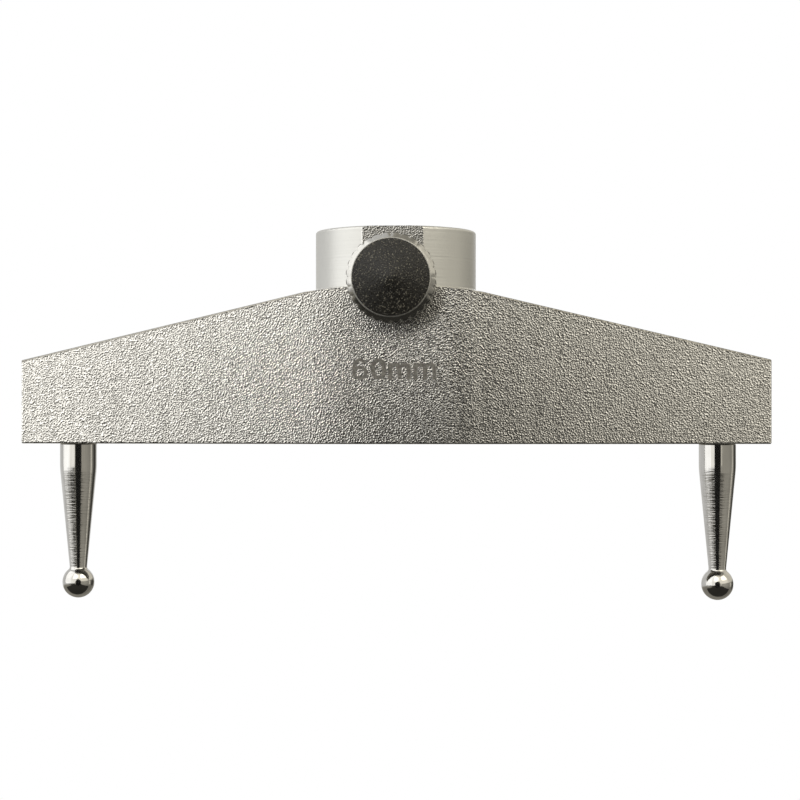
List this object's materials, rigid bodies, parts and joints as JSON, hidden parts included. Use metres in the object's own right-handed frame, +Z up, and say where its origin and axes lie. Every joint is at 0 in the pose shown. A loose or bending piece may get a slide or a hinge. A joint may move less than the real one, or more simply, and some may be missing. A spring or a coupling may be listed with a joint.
{
  "type": "radius gauge measuring bridge",
  "caption": "Measuring bridge of a radius gauge: sloping metal bar with a collar for the indicator stem, a knurled clamp screw and tapered pins with ball tips.",
  "frame": {"origin": "where the axis of the stem bore meets the axis of the thumb screw", "axes": "+Z up along the stem bore, +X along the bridge, -Y out of the front face along the thumb screw"},
  "size_m": [0.0686, 0.0195, 0.0343],
  "materials": {
    "blasted_steel": "satin chrome over a coarse blasted surface, the collar turned bright",
    "polished_pin": "polished steel with a fine turned lay",
    "polished_ball": "lapped bright",
    "knurled_steel": "bright nickel",
    "black_cap": "matte with a fine grain",
    "brass_tip": "turned"
  },
  "bodies": {
    "bridge": {"bridge_body": "blasted_steel", "contact_pin_left": "polished_pin", "contact_pin_right": "polished_pin", "contact_ball_left": "polished_ball", "contact_ball_right": "polished_ball"},
    "tip": {"clamp_tip": "brass_tip"},
    "screw": {"thumb_screw": "knurled_steel", "screw_cap": "black_cap"}
  },
  "joints": [
    {"name": "screw_travel", "type": "slide", "parent": "bridge", "child": "tip", "axis": [0, -1, 0], "range_m": [-0.0009, 0.0015]},
    {"name": "screw_turn", "type": "hinge", "parent": "tip", "child": "screw", "pos_m": [0, 0, 0], "axis": [0, -1, 0], "range_deg": [-648, 1080]}
  ],
  "couplings": [
    {"joint": "screw_turn", "follows": "screw_travel", "rad_per_m": 12566}
  ]
}
